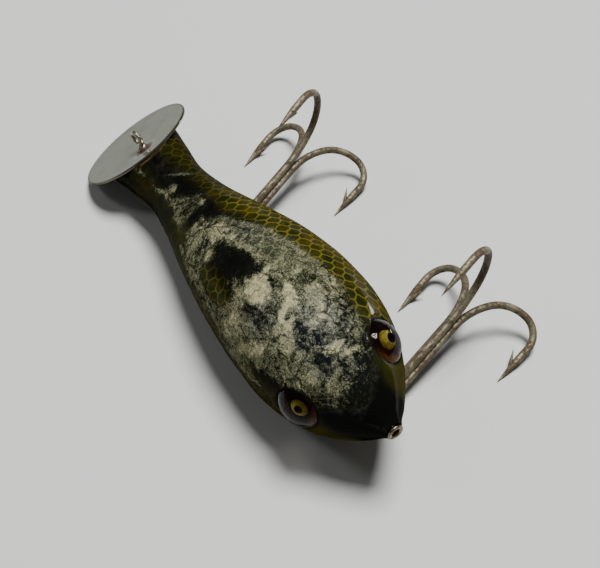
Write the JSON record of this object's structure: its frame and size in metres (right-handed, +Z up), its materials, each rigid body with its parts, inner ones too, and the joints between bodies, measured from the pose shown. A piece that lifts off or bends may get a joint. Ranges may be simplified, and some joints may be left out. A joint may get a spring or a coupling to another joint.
{
  "type": "fishing lure",
  "caption": "Fat-bodied wooden fishing lure with glass eyes, a round metal plate on its slanted tail, a line tie on the plate and treble hooks under its belly.",
  "frame": {"origin": "on the table, under the middle of the lure's box", "axes": "+X towards the nose end, along the length; +Y towards the side that the trebles are swung out to, the fish's left; +Z up from the table"},
  "size_m": [0.096, 0.0516, 0.0261],
  "materials": {
    "painted_wood": "turned and carved wood, painted glossy green, olive and black over white primer, much of the back worn to the primer",
    "eye_glass": "glass, polished, painted dark behind",
    "cup_brass": "plated, tarnished",
    "plate_metal": "bright plated sheet, finely scratched, stained near the line tie",
    "tie_steel": "dull wire, rusty at its foot",
    "hook_steel": "bronzed steel wire, rusty brown"
  },
  "bodies": {
    "root": {"body": "painted_wood", "left_eye": "eye_glass", "right_eye": "eye_glass", "nose_cup": "cup_brass", "metal_plate": "plate_metal", "line_tie": "tie_steel", "front_hanger": "hook_steel", "rear_hanger": "hook_steel", "front_treble": "hook_steel", "rear_treble": "hook_steel"}
  },
  "joints": []
}
